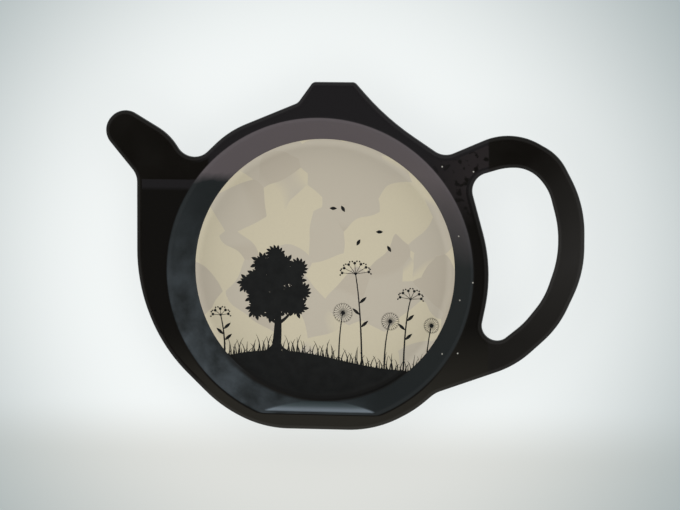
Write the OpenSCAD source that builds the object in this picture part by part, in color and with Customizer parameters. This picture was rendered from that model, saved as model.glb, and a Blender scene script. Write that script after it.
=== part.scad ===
// Teapot-shaped tea bag rest: a shallow melamine dish with a printed foil and a clear glaze in its face.
// It lies flat, open side up, with the lid knob towards +Y, the spout towards -X and the handle towards +X.
// The origin is under the middle of the outline, on the surface that the foot ring stands on.

/* [Well] */
// Radius of the flat floor
floor_r = 30.7; // [28:0.1:33]
// Depth of the floor below the rim
well_depth = 7; // [5.5:0.1:9]
// Slope of the round wall above the horizontal, in degrees
wall_angle = 48; // [42:1:60]
// Radius of the hollow where the floor meets the wall
floor_fillet = 3; // [1.5:0.1:4]
// Radius over which the wall rolls out into the rim
shoulder_r = 2; // [1:0.1:2.6]
// How far the flat side at the base lies inside the round edge
flat_side_in = 3.1; // [2:0.1:4]
// Slope of the flat side above the horizontal, in degrees
flat_side_angle = 69; // [60:1:80]
// Radius over which the flat side rolls out into the rim
flat_shoulder_r = 1; // [0.8:0.1:2]

/* [Moulding] */
// Thickness of the bowl's wall
wall_t = 2.4; // [2:0.1:3]
// Thickness of the rim, spout and handle
rim_t = 2.6; // [2.3:0.1:3.5]
// Radius on the upper edge of the rim, spout and handle
top_edge_r = 1.2; // [0.6:0.1:1.2]
// Radius on the lower edge of the rim, spout and handle
lower_edge_r = 0.8; // [0.3:0.1:0.9]
// Height of the foot ring
foot_h = 0.6; // [0.4:0.1:1.5]
// Width of the foot ring
foot_w = 2.4; // [1.5:0.1:4]
// How far the foot ring lies inside the edge of the floor
foot_inset = 2.6; // [1:0.1:6]

/* [Pot outline] */
// Width of the flat rim round the well
rim_w = 2.7; // [2.2:0.1:4]
// Width of the flat rim along the base
base_rim_w = 3.6; // [3.3:0.1:6]
// How far the well's centre lies below the belly's
well_drop = 0.4; // [0:0.1:0.6]
// Width of the straight base, with its corners
base_w = 28.2; // [24:0.1:32]
// Width of the lid knob
knob_w = 10.5; // [8:0.1:13]
// Height of the lid knob above the belly
knob_h = 5.2; // [3.5:0.1:7]
// How far the knob stands to the handle's side of the belly's centre
knob_shift = 3.6; // [1:0.1:6]
// Radius on the knob's two corners
knob_corner_r = 1.4; // [1.4:0.1:3]
// Reach of the spout beyond the belly
spout_reach = 12.1; // [10:0.1:15]
// Height of the spout's tip above the belly's centre
spout_rise = 39.6; // [37:0.1:42]
// Radius of the spout's two corners
spout_tip_r = 4.8; // [3.5:0.1:5.2]
// Radius in the valleys beside the spout, knob and handle
valley_r = 4.9; // [3:0.1:6]
// Reach of the handle beyond the belly
handle_reach = 24.1; // [22:0.1:28]
// Height of the handle
handle_h = 59; // [55:0.1:63]
// Width of the handle's grip
grip_w = 6.5; // [5.5:0.1:7.5]

/* [Print] */
// Thickness of the printed foil
foil_t = 0.2; // [0.1:0.05:0.3]
// Thickness of the clear glaze
glaze_t = 0.2; // [0.1:0.05:0.3]
// Bare border between the glaze and the outline
glaze_border = 1.3; // [1.3:0.1:1.8]
// How far the foil runs out past the belly, on the handle
foil_reach = 0.4; // [0:0.1:3]
// How far the foil's cut edge on the spout lies below the spout's tip
foil_spout_drop = 17.1; // [13:0.1:21]
// How far the pale printed disc runs out past the flat floor
moon_lap = 2.2; // [1:0.1:2.8]
// Height of the printed meadow above the disc's lower edge
meadow_h = 9.9; // [7:0.1:13]
// Height of the knoll that the printed tree stands on
knoll_h = 4.5; // [2:0.1:6]
// Height of the printed tree's bare trunk
trunk_h = 6; // [5:0.1:9]
// Width of the printed tree's crown
crown_w = 21; // [16:0.1:24]
// Height of the tallest printed flower
flower_h = 22; // [16:0.1:26]
// Height of the printed grass
grass_h = 4.4; // [2:0.1:6]

/* [Hidden] */
$fn = 96;
// Overrun of every cut past the surface that it opens
over = 1;
// Turn between two points on a rounded corner, in degrees
arc_step = 8;
// Facets across each rounded edge
edge_steps = 3;
// Share of a side that the two rounded corners on it may take up
corner_share = 0.97;

floor_z = foot_h + wall_t;
rim_z = floor_z + well_depth;
rim_under_z = rim_z - rim_t;
wall_foot_r = floor_r + floor_fillet * tan(wall_angle / 2);
well_edge_r = wall_foot_r + well_depth / tan(wall_angle);
rim_start_r = well_edge_r + shoulder_r * tan(wall_angle / 2);
flat_start = rim_start_r - flat_side_in;
belly_r = rim_start_r + rim_w;
base_drop = flat_start + base_rim_w + well_drop;
far = 2 * (belly_r + handle_reach);
foil_right = belly_r + foil_reach;
foil_spout_cut = well_drop + spout_rise - foil_spout_drop;
moon_r = floor_r + moon_lap;
meadow_drop = moon_r - meadow_h;

// Corners of the outline from the belly's centre, as shares of its radius: across, up and corner radius
left_belly_shares = [[-1.108, -0.096, 1.204], [-0.95, -0.489, 1.114], [-0.597, -0.833, 0.806]];
right_belly_shares = [[0.575, -0.828, 0.723]];
left_shoulder_shares = [[-0.546, 0.828, 0.572]];
right_shoulder_shares = [[0.4, 0.912, 1.505]];
// Corners in the valleys as shares of the belly's radius: across and up
spout_valley_share = [-0.779, 0.605];
handle_valley_share = [0.74, 0.684];
handle_root_share = [0.695, -0.723];
handle_root_radius_share = 0.181;
base_radius_share = 0.663;
// Corners of the spout: reach beyond the belly as a share of the spout's, height as a share of its tip's
spout_top_share = [-0.332, 0.851];
spout_front_share = [0.677, 1.035];
spout_lip_share = [1.132, 0.879];
spout_under_share = [0.361, 0.592];
spout_top_radius_share = 0.364;
// Corners of the handle: reach as a share of the handle's, height and radius as shares of the handle's height
handle_shares = [
    [0.304, -0.39, 0.427],
    [0.74, -0.225, 0.432],
    [1, 0.007, 0.49],
    [1, 0.293, 0.49],
    [0.732, 0.501, 0.214],
    [0.25, 0.61, 0.264]
];
// Corners of the finger hole, clockwise: reach, height and radius as shares of the hole's reach and height
hole_shares = [
    [0.6, 0.573, 0.213],
    [0.863, 0.458, 0.274],
    [1, 0.26, 0.576],
    [1, 0.088, 0.576],
    [0.813, -0.128, 0.439],
    [0.522, -0.27, 0.439],
    [0.16, -0.383, 0.08],
    [-0.095, -0.324, 0.08],
    [0.085, 0.014, 0.867],
    [-0.27, 0.512, 0.1],
    [0.246, 0.572, 0.385]
];
knob_flare_share = 0.36;

function scaled(shares, size) = [for (s = shares) s * size];
function spout_corner(share, radius) = [
    -belly_r - spout_reach * share.x,
    spout_rise * share.y,
    radius
];
function valley_corner(share, radius) = [belly_r * share.x, belly_r * share.y, radius];

pot_corners = concat(
    [
        [knob_shift + knob_w / 2, belly_r + knob_h, knob_corner_r],
        [knob_shift - knob_w / 2, belly_r + knob_h, knob_corner_r],
        [knob_shift - knob_w / 2 - knob_w * knob_flare_share, belly_r, valley_r / 2]
    ],
    scaled(left_shoulder_shares, belly_r),
    [
        valley_corner(spout_valley_share, valley_r),
        spout_corner(spout_top_share, spout_rise * spout_top_radius_share),
        spout_corner(spout_front_share, spout_tip_r),
        spout_corner(spout_lip_share, spout_tip_r),
        spout_corner(spout_under_share, valley_r)
    ],
    scaled(left_belly_shares, belly_r),
    [
        [-base_w / 2, -base_drop, belly_r * base_radius_share],
        [base_w / 2, -base_drop, belly_r * base_radius_share]
    ],
    scaled(right_belly_shares, belly_r),
    [valley_corner(handle_root_share, belly_r * handle_root_radius_share)],
    [for (s = handle_shares) [belly_r + handle_reach * s.x, handle_h * s.y, handle_h * s.z]],
    [valley_corner(handle_valley_share, valley_r)],
    scaled(right_shoulder_shares, belly_r)
);
hole_reach = handle_reach - grip_w;
hole_h = handle_h - 2 * grip_w;
hole_corners = [for (s = hole_shares) [belly_r + hole_reach * s.x, hole_h * s.y, hole_h * s.z]];

function unit(v) = v / norm(v);
function turned(v, a) = [v.x * cos(a) - v.y * sin(a), v.x * sin(a) + v.y * cos(a)];
function turn_from(a, b) = atan2(a.x * b.y - a.y * b.x, a * b);

// Points round an outline with rounded corners, each with the normal that points out of the solid and the
// room for insets at its corner. The solid is on the left of the corners' way round.
function rounded(corners) =
    let (
        n = len(corners),
        p = [for (c = corners) [c.x, c.y]],
        way = [for (i = [0 : n - 1]) unit(p[(i + 1) % n] - p[i])],
        side = [for (i = [0 : n - 1]) norm(p[(i + 1) % n] - p[i])],
        turn = [for (i = [0 : n - 1]) turn_from(way[(i + n - 1) % n], way[i])],
        cut = [for (i = [0 : n - 1]) corners[i].z * tan(abs(turn[i]) / 2)],
        fit = [for (i = [0 : n - 1]) min(1, corner_share * side[i] / (cut[i] + cut[(i + 1) % n]))]
    )
    [
        for (i = [0 : n - 1])
            let (
                before = (i + n - 1) % n,
                room = min(fit[before], fit[i]),
                r = corners[i].z * room * sign(turn[i]),
                out = [way[before].y, -way[before].x],
                centre = p[i] - way[before] * cut[i] * room - out * r,
                steps = max(1, ceil(abs(turn[i]) / arc_step))
            )
            for (j = [0 : steps])
                let (normal = turned(out, turn[i] * j / steps))
                concat(centre + normal * r, normal, r > 0 ? r * corner_share : far)
    ];

// Every inset is narrowed at a corner that is too tight for the whole bead
bead_w = glaze_border + top_edge_r / 4;
function inset(ring, depth) = [for (p = ring) [p[0], p[1]] - depth * min(1, p[4] / bead_w) * [p[2], p[3]]];

function raised(corners) = [for (c = corners) [c.x, c.y + well_drop, c.z]];
pot_ring = rounded(raised(pot_corners));
hole_ring = rounded(raised(hole_corners));
pot_points = inset(pot_ring, 0);
middle = [
    (min([for (p = pot_points) p.x]) + max([for (p = pot_points) p.x])) / 2,
    (min([for (p = pot_points) p.y]) + max([for (p = pot_points) p.y])) / 2
];

// Section of the rounded bead round the plate: inset and height, from the lower face up to the upper face
bead_section = concat(
    [[bead_w, rim_under_z]],
    [
        for (j = [0 : edge_steps])
            let (a = 90 * j / edge_steps)
            [lower_edge_r * (1 - sin(a)), rim_under_z + lower_edge_r * (1 - cos(a))]
    ],
    [
        for (j = [0 : edge_steps])
            let (a = 90 * j / edge_steps)
            [top_edge_r * (1 - cos(a)), rim_z - top_edge_r * (1 - sin(a))]
    ],
    [[bead_w, rim_z]]
);

// Moves the work from the well's centre to the origin under the middle of the outline
module in_place() {
    translate([-middle.x, -middle.y, 0]) children();
}

// A bead with rounded edges, lofted once round a ring
module bead(ring) {
    n = len(ring);
    layers = len(bead_section);
    points = [for (step = bead_section) for (p = inset(ring, step.x)) [p.x, p.y, step.y]];
    skin = [
        for (k = [0 : layers - 1])
            for (i = [0 : n - 1])
                let (
                    a = k * n + i,
                    b = k * n + (i + 1) % n,
                    c = (k + 1) % layers * n + (i + 1) % n,
                    d = (k + 1) % layers * n + i
                )
                for (face = [[a, d, c], [a, c, b]])
                    face
    ];
    polyhedron(points, skin);
}

// The plate between the borders that its glaze leaves bare
module plate_outline() {
    difference() {
        polygon(inset(pot_ring, glaze_border));
        polygon(inset(hole_ring, glaze_border));
    }
}

// The flat rim with the knob, spout and handle: two beads, with the plate let into their inner sides
module pot_plate() {
    bead(pot_ring);
    bead(hole_ring);
    translate([0, 0, rim_under_z])
        linear_extrude(rim_t - glaze_t / 2)
            plate_outline();
}

// Points on a part of a circle
function arc(centre, r, from, to) =
    let (steps = ceil(abs(to - from) / arc_step))
    [for (j = [0 : steps]) let (a = from + (to - from) * j / steps) centre + r * [cos(a), sin(a)]];

fillet_centre = [floor_r, floor_z + floor_fillet];
shoulder_z = rim_z - shoulder_r;

// The open space over the dish's face, sunk everywhere by the same depth
module open_space(depth) {
    intersection() {
        rotate_extrude()
            polygon(concat(
                [[0, floor_z - depth]],
                arc(fillet_centre, floor_fillet + depth, -90, wall_angle - 90),
                arc([rim_start_r, shoulder_z], shoulder_r - depth, wall_angle + 90, 90),
                [[far, rim_z - depth], [far, rim_z + over], [0, rim_z + over]]
            ));
        flat_side(depth);
    }
}

// Everything on the well's side of the flat wall, up to the rim
module flat_side(depth) {
    roll = arc([flat_start, rim_z - flat_shoulder_r], flat_shoulder_r - depth, flat_side_angle + 90, 90);
    low = -over;
    low_x = roll[0].x - (roll[0].y - low) / tan(flat_side_angle);
    across_x()
        polygon(concat(
            [[-far, low], [low_x, low]],
            roll,
            [[far, rim_z - depth], [far, rim_z + over], [-far, rim_z + over]]
        ));
}

// Stretches a side view along X, with its first axis pointing towards -Y
module across_x() {
    rotate([90, 0, -90])
        translate([0, 0, -far])
            linear_extrude(2 * far)
                children();
}

// The outside of the bowl, one wall thickness under the face
module bowl() {
    bend = arc(fillet_centre, floor_fillet + wall_t, -90, wall_angle - 90);
    bend_end = bend[len(bend) - 1];
    top_z = rim_under_z + rim_t / 2;
    top_r = bend_end.x + (top_z - bend_end.y) / tan(wall_angle);
    flat_top = flat_start - flat_shoulder_r * tan(flat_side_angle / 2)
        - (rim_z - top_z) / tan(flat_side_angle) + wall_t / sin(flat_side_angle);
    flat_foot = flat_top - top_z / tan(flat_side_angle);
    intersection() {
        rotate_extrude()
            polygon(concat([[0, foot_h]], bend, [[top_r, top_z], [0, top_z]]));
        across_x()
            polygon([[-far, 0], [flat_foot, 0], [flat_top, top_z], [-far, top_z]]);
    }
}

// The ring that the dish stands on, with a drafted side each way
module foot_ring() {
    outer = floor_r - foot_inset;
    draft = foot_w / 8;
    lap = wall_t / 2;
    rotate_extrude()
        polygon([
            [outer - foot_w + draft, 0],
            [outer - draft, 0],
            [outer, foot_h],
            [outer, foot_h + lap],
            [outer - foot_w, foot_h + lap],
            [outer - foot_w, foot_h]
        ]);
}

// The part of the face that the glaze covers, as a column through the dish
module glazed_column() {
    linear_extrude(rim_z + over) plate_outline();
}

// The sheet that the foil is cut from: straight on the handle and under the spout
module foil_column() {
    spout_side = belly_r * spout_valley_share.x;
    difference() {
        translate([-far, -far, 0]) cube([far + foil_right, 2 * far, rim_z + over]);
        translate([-2 * far, foil_spout_cut, -over])
            cube([2 * far + spout_side, 2 * far, rim_z + 3 * over]);
    }
}

// The whole foil, seated under the glaze
module foil() {
    difference() {
        intersection() {
            open_space(glaze_t + foil_t);
            glazed_column();
            foil_column();
        }
        open_space(glaze_t);
    }
}

module moon_column() {
    cylinder(r = moon_r, h = rim_z + over);
}

// Printed tree: clumps of leaves on a spiral over a forked trunk
tree_x = -moon_r * 0.36;
trunk_w = crown_w / 12;
crown_clumps = 21;
clump_r = crown_w / 8;
golden_turn = 137.5;
module tree() {
    foot_y = -meadow_drop + knoll_h / 2;
    crown_r = crown_w / 2;
    crown_y = foot_y + trunk_h + crown_r;
    translate([tree_x, crown_y]) circle(crown_r - clump_r);
    for (i = [0 : crown_clumps - 1]) {
        reach = (crown_r - clump_r) * sqrt(i / (crown_clumps - 1));
        place = turned([reach, 0], golden_turn * i);
        translate([tree_x + place.x, crown_y + place.y]) circle(clump_r);
    }
    polygon([
        [tree_x - trunk_w, foot_y - over],
        [tree_x + trunk_w, foot_y - over],
        [tree_x + trunk_w / 2, crown_y],
        [tree_x - trunk_w / 2, crown_y]
    ]);
}

// Printed flower: a leaning stem with a round seed head, out of a tuft as high as the grass
module flower(x, height, lean) {
    stem_w = flower_h / 40;
    head_r = height / 9;
    tuft_w = grass_h;
    foot_y = ground_y(x) - knoll_h;
    top = [x + lean, -meadow_drop + height];
    polygon([
        [x - stem_w, foot_y],
        [x + stem_w, foot_y],
        top + [stem_w / 2, 0],
        top - [stem_w / 2, 0]
    ]);
    polygon([
        [x - tuft_w / 2, foot_y],
        [x + tuft_w / 2, foot_y],
        [x + stem_w, ground_y(x) + grass_h],
        [x - stem_w, ground_y(x) + grass_h]
    ]);
    translate(top) circle(head_r);
}

// Flowers as shares: place across the meadow, height of the tallest flower, and lean
flower_shares = [
    [0.18, 0.62, 0.04],
    [0.42, 1, -0.07],
    [0.66, 0.74, 0.08],
    [0.86, 0.46, 0.04],
    [-0.92, 0.36, -0.04]
];

// Printed meadow: a knoll under the tree, grass and flowers
hill_steps = 32;
blades = 34;
blade_w = grass_h / 5;
ink_spread = blade_w / 15;
lowest_ground = meadow_drop + knoll_h / 2;
meadow_half_w = sqrt(moon_r * moon_r - lowest_ground * lowest_ground);
grass_half_w = meadow_half_w - blade_w;
function ground_y(x) = -meadow_drop + knoll_h / 2 * cos(180 * min(1, abs(x - tree_x) / moon_r));
module meadow_print() {
    polygon(concat(
        [
            for (i = [0 : hill_steps])
                let (x = -moon_r + 2 * moon_r * i / hill_steps)
                [x, ground_y(x)]
        ],
        [[moon_r, -moon_r - over], [-moon_r, -moon_r - over]]
    ));
    for (i = [0 : blades - 1]) {
        x = grass_half_w * (2 * (i + 0.5) / blades - 1);
        lean = blade_w / 2 * sin(golden_turn * i);
        rise = grass_h / 2 * (1.4 + 0.6 * cos(2 * golden_turn * i));
        polygon([
            [x - blade_w / 2, ground_y(x) - over],
            [x + blade_w / 2, ground_y(x) - over],
            [x + lean, ground_y(x) + rise]
        ]);
    }
    for (s = flower_shares)
        flower(meadow_half_w * s.x, flower_h * s.y, meadow_half_w * s.z);
    tree();
}

// The dark print joined into one field, its edges swollen a little as ink spreads
module print_column() {
    linear_extrude(rim_z)
        offset(delta = ink_spread)
            meadow_print($fn = 24);
}

module tray() {
    color([0.09, 0.085, 0.08])
        in_place()
            difference() {
                union() {
                    pot_plate();
                    bowl();
                    foot_ring();
                }
                intersection() {
                    open_space(glaze_t);
                    glazed_column();
                }
                intersection() {
                    open_space(glaze_t + foil_t);
                    glazed_column();
                    foil_column();
                }
            }
}

module foil_border() {
    color([0.19, 0.21, 0.23])
        in_place()
            difference() {
                foil();
                moon_column();
            }
}

module foil_moon() {
    color([0.77, 0.74, 0.65])
        in_place()
            difference() {
                intersection() {
                    foil();
                    moon_column();
                }
                print_column();
            }
}

module foil_meadow() {
    color([0.1, 0.11, 0.12])
        in_place()
            intersection() {
                foil();
                moon_column();
                print_column();
            }
}

module glaze() {
    color([0.9, 0.93, 0.95, 0.25])
        in_place()
            difference() {
                intersection() {
                    open_space(glaze_t);
                    glazed_column();
                }
                open_space(0);
            }
}

tray();
foil_border();
foil_moon();
foil_meadow();
glaze();
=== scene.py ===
import math

import bmesh
import bpy
import numpy as np
from mathutils import Matrix, Vector
from mathutils.geometry import delaunay_2d_cdt


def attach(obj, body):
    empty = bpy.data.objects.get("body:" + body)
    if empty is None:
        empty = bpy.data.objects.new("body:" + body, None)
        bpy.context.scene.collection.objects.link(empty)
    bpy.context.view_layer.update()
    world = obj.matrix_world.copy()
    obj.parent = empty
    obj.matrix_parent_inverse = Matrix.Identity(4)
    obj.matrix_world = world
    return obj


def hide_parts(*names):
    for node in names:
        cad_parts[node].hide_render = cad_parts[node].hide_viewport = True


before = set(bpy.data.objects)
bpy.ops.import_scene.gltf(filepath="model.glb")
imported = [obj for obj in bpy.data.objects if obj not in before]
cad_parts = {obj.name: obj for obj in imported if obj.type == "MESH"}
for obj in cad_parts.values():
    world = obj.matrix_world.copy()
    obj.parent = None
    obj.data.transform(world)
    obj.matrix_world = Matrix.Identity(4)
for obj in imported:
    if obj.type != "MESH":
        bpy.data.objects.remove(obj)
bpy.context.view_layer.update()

# The dish is drawn in millimetres from the middle of its well, with the handle at +X and the lid knob at +Y.
# It is set down in metres with the well here, so that the middle of its outline lies over the origin.
MM = 0.001
WELL_X = -5.957
WELL_Y = -3.9

# Well
FLOOR_R = 30.7
FLOOR_Z = 3.0
RIM_Z = 10.0
WALL_ANGLE = math.radians(48)
FLOOR_FILLET = 3.0
SHOULDER_R = 2.0
FLAT_SIDE_IN = 3.1
FLAT_SIDE_ANGLE = math.radians(69)
FLAT_SHOULDER_R = 1.0
WALL_FOOT_R = FLOOR_R + FLOOR_FILLET * math.tan(WALL_ANGLE / 2)
WELL_EDGE_R = WALL_FOOT_R + (RIM_Z - FLOOR_Z) / math.tan(WALL_ANGLE)
RIM_START_R = WELL_EDGE_R + SHOULDER_R * math.tan(WALL_ANGLE / 2)
FLAT_START = RIM_START_R - FLAT_SIDE_IN

# Moulding
WALL_T = 2.4
RIM_UNDER_Z = 7.4
TOP_EDGE_R = 1.2
LOWER_EDGE_R = 0.8
BEAD_W = 1.6
FOOT_Z = 0.6
FOOT_OUTER_R = 28.1
FOOT_INNER_R = 25.7
FOOT_DRAFT = 0.3

# Outline
RIM_W = 2.7
BASE_RIM_W = 3.6
WELL_DROP = 0.4
BELLY_R = RIM_START_R + RIM_W
BASE_DROP = FLAT_START + BASE_RIM_W + WELL_DROP
BASE_W = 28.2
KNOB_W = 10.5
KNOB_H = 5.2
KNOB_SHIFT = 3.6
KNOB_CORNER_R = 1.4
SPOUT_REACH = 12.1
SPOUT_RISE = 39.6
SPOUT_TIP_R = 4.8
VALLEY_R = 4.9
HANDLE_REACH = 24.1
HANDLE_H = 59.0
GRIP_W = 6.5

# Print
PRINT_T = 0.2
PRINT_GAP = 0.02
PRINT_BORDER = 1.45
FOIL_REACH = 0.4
FOIL_SPOUT_DROP = 17.1
FOIL_RIGHT = BELLY_R + FOIL_REACH
FOIL_SPOUT_CUT = WELL_DROP + SPOUT_RISE - FOIL_SPOUT_DROP
MOON_LAP = 2.2
MOON_R = FLOOR_R + MOON_LAP
DISC_SPREAD = 0.1
DISC_R = MOON_R + DISC_SPREAD
DISC_SHIFT = 0.5
MEADOW_H = 9.9
MEADOW_DROP = MOON_R - MEADOW_H
KNOLL_H = 4.5

# Fineness of the meshes
CORNER_STEP = math.radians(2.5)
EDGE_STEPS = 8
AROUND = 480
WALL_STEPS = 40
FILLET_STEPS = 10
CURVE_SAMPLES = 200
SHARP_ANGLE = math.radians(40)

# The share of a side that its two corners may take up, and of a corner's radius that an inset may take up
CORNER_SHARE = 0.97

# How far the turned face runs on over the rim
LIP = 0.25

# The difference in height within which the two walls run together
BLEND = 0.12

# A length past every edge
FAR = 200.0

# Points this near count as one, in the flat drawings and in the finished mesh, and sides this short vanish
SAME_SPOT = 0.001
MERGED = 0.0004
VANISHING = 0.0002

# Corners as shares of the sizes that they follow: across, up and corner radius
LEFT_BELLY_SHARES = [(-1.108, -0.096, 1.204), (-0.95, -0.489, 1.114), (-0.597, -0.833, 0.806)]
RIGHT_BELLY_SHARE = (0.575, -0.828, 0.723)
LEFT_SHOULDER_SHARE = (-0.546, 0.828, 0.572)
RIGHT_SHOULDER_SHARE = (0.4, 0.912, 1.505)
SPOUT_VALLEY_SHARE = (-0.779, 0.605)
HANDLE_VALLEY_SHARE = (0.74, 0.684)
HANDLE_ROOT_SHARE = (0.695, -0.723, 0.181)
BASE_RADIUS_SHARE = 0.663
SPOUT_SHARES = [(-0.332, 0.851), (0.677, 1.035), (1.132, 0.879), (0.361, 0.592)]
SPOUT_TOP_RADIUS_SHARE = 0.364
KNOB_FLARE_SHARE = 0.36
HANDLE_SHARES = [
    (0.304, -0.39, 0.427),
    (0.74, -0.225, 0.432),
    (1, 0.007, 0.49),
    (1, 0.293, 0.49),
    (0.732, 0.501, 0.214),
    (0.25, 0.61, 0.264),
]
HOLE_SHARES = [
    (0.6, 0.573, 0.213),
    (0.863, 0.458, 0.274),
    (1, 0.26, 0.576),
    (1, 0.088, 0.576),
    (0.813, -0.128, 0.439),
    (0.522, -0.27, 0.439),
    (0.16, -0.383, 0.08),
    (-0.095, -0.324, 0.08),
    (0.085, 0.014, 0.867),
    (-0.27, 0.512, 0.1),
    (0.246, 0.572, 0.385),
]


def of_belly(share):
    return tuple(BELLY_R * s for s in share)


def of_spout(share, radius):
    return (-BELLY_R - SPOUT_REACH * share[0], SPOUT_RISE * share[1], radius)


def pot_corners():
    knob_left = KNOB_SHIFT - KNOB_W / 2
    knob_top = BELLY_R + KNOB_H
    spout_radii = [SPOUT_RISE * SPOUT_TOP_RADIUS_SHARE, SPOUT_TIP_R, SPOUT_TIP_R, VALLEY_R]
    base_r = BELLY_R * BASE_RADIUS_SHARE
    return [
        (KNOB_SHIFT + KNOB_W / 2, knob_top, KNOB_CORNER_R),
        (knob_left, knob_top, KNOB_CORNER_R),
        (knob_left - KNOB_W * KNOB_FLARE_SHARE, BELLY_R, VALLEY_R / 2),
        of_belly(LEFT_SHOULDER_SHARE),
        (*of_belly(SPOUT_VALLEY_SHARE), VALLEY_R),
        *[of_spout(s, r) for s, r in zip(SPOUT_SHARES, spout_radii)],
        *[of_belly(s) for s in LEFT_BELLY_SHARES],
        (-BASE_W / 2, -BASE_DROP, base_r),
        (BASE_W / 2, -BASE_DROP, base_r),
        of_belly(RIGHT_BELLY_SHARE),
        of_belly(HANDLE_ROOT_SHARE),
        *[(BELLY_R + HANDLE_REACH * x, HANDLE_H * y, HANDLE_H * r) for x, y, r in HANDLE_SHARES],
        (*of_belly(HANDLE_VALLEY_SHARE), VALLEY_R),
        of_belly(RIGHT_SHOULDER_SHARE),
    ]


def hole_corners():
    reach, height = HANDLE_REACH - GRIP_W, HANDLE_H - 2 * GRIP_W
    return [(BELLY_R + reach * x, height * y, height * r) for x, y, r in HOLE_SHARES]


def rounded(corners):
    """Points round an outline with rounded corners: x, y, the outward normal, and the room for insets."""
    n = len(corners)
    at = [Vector((x, y + WELL_DROP)) for x, y, _ in corners]
    way = [(at[(i + 1) % n] - at[i]).normalized() for i in range(n)]
    side = [(at[(i + 1) % n] - at[i]).length for i in range(n)]
    turn = [math.atan2(way[i - 1].cross(way[i]), way[i - 1].dot(way[i])) for i in range(n)]
    cut = [corners[i][2] * math.tan(abs(turn[i]) / 2) for i in range(n)]
    fit = [min(1, CORNER_SHARE * side[i] / (cut[i] + cut[(i + 1) % n])) for i in range(n)]
    ring = []
    for i in range(n):
        room = min(fit[i - 1], fit[i])
        r = math.copysign(corners[i][2] * room, turn[i])
        out = Vector((way[i - 1].y, -way[i - 1].x))
        centre = at[i] - way[i - 1] * cut[i] * room - out * r
        steps = max(1, math.ceil(abs(turn[i]) / CORNER_STEP))
        for j in range(steps + 1):
            a = turn[i] * j / steps
            normal = Vector((
                out.x * math.cos(a) - out.y * math.sin(a),
                out.x * math.sin(a) + out.y * math.cos(a),
            ))
            p = centre + normal * r
            ring.append((p.x, p.y, normal.x, normal.y, r * CORNER_SHARE if r > 0 else FAR))
    return ring


def inset(ring, depth):
    """The outline drawn in by a depth, less at corners that are too tight for the whole bead."""
    return [
        (x - depth * min(1, room / BEAD_W) * nx, y - depth * min(1, room / BEAD_W) * ny)
        for x, y, nx, ny, room in ring
    ]


POT = rounded(pot_corners())
HOLE = rounded(hole_corners())
ANGLES = [math.tau * k / AROUND for k in range(AROUND)]


def polar(r, angle):
    return (r * math.cos(angle), r * math.sin(angle))


def round_height(r):
    """Height of the round well's face at radius r, before the flat side cuts it off."""
    fillet_end = FLOOR_R + FLOOR_FILLET * math.sin(WALL_ANGLE)
    shoulder_begin = RIM_START_R - SHOULDER_R * math.sin(WALL_ANGLE)
    if r <= FLOOR_R:
        return FLOOR_Z
    if r <= fillet_end:
        return FLOOR_Z + FLOOR_FILLET - math.sqrt(FLOOR_FILLET**2 - (r - FLOOR_R) ** 2)
    if r <= shoulder_begin:
        return FLOOR_Z + (r - WALL_FOOT_R) * math.tan(WALL_ANGLE)
    if r < RIM_START_R:
        return RIM_Z - SHOULDER_R + math.sqrt(SHOULDER_R**2 - (RIM_START_R - r) ** 2)
    return RIM_Z


def flat_height(u):
    """Height of the flat side at distance u from the well's centre towards the base."""
    wall_top = FLAT_START - FLAT_SHOULDER_R * math.sin(FLAT_SIDE_ANGLE)
    wall_top_z = RIM_Z - FLAT_SHOULDER_R + FLAT_SHOULDER_R * math.cos(FLAT_SIDE_ANGLE)
    if u <= wall_top:
        return wall_top_z - (wall_top - u) * math.tan(FLAT_SIDE_ANGLE)
    if u < FLAT_START:
        return RIM_Z - FLAT_SHOULDER_R + math.sqrt(FLAT_SHOULDER_R**2 - (FLAT_START - u) ** 2)
    return RIM_Z


def face_height(x, y):
    """Height of the dish's face: the higher of the two walls, run together over a small blend."""
    a, b = round_height(math.hypot(x, y)), flat_height(-y)
    h = max(0.0, BLEND - abs(a - b)) / BLEND
    return min(RIM_Z, max(a, b) + h * h * BLEND / 4)


def under_height(x, y):
    """Height of the underside: foot ring, bowl and flat side, one wall thickness below the face."""
    r = math.hypot(x, y)
    if r < FOOT_INNER_R or FOOT_OUTER_R < r <= FLOOR_R:
        return FOOT_Z
    if r <= FOOT_OUTER_R:
        slope = FOOT_Z / FOOT_DRAFT
        return max(0.0, FOOT_Z - slope * min(r - FOOT_INNER_R, FOOT_OUTER_R - r))
    bend_r = FLOOR_FILLET + WALL_T
    bend_end = FLOOR_R + bend_r * math.sin(WALL_ANGLE)
    if r <= bend_end:
        bowl = FOOT_Z + bend_r - math.sqrt(bend_r**2 - (r - FLOOR_R) ** 2)
    else:
        bowl = FOOT_Z + bend_r * (1 - math.cos(WALL_ANGLE)) + (r - bend_end) * math.tan(WALL_ANGLE)
    side = flat_height(-y - WALL_T / math.sin(FLAT_SIDE_ANGLE))
    return min(RIM_UNDER_Z, max(bowl, side))


def slice_out(angle, start_r, end_r, height, count):
    """Points along one slice of a turned face, evenly spaced along its curve."""
    dense = np.linspace(start_r, end_r, CURVE_SAMPLES)
    z = np.array([height(*polar(r, angle)) for r in dense])
    run = np.concatenate([[0], np.cumsum(np.hypot(np.diff(dense), np.diff(z)))])
    radii = np.interp(np.linspace(0, run[-1], count + 1), run, dense)
    return [(*polar(r, angle), height(*polar(r, angle))) for r in radii]


def clipped_radius(angle, round_r, flat_u):
    """Radius of a round edge in one direction, where a flat edge towards the base cuts it off."""
    down = -math.sin(angle)
    return min(round_r, flat_u / down) if down > 0 else round_r


def rim_radius(angle):
    """Where the turned face ends, a lip beyond the start of the rim."""
    return clipped_radius(angle, RIM_START_R, FLAT_START) + LIP


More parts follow.
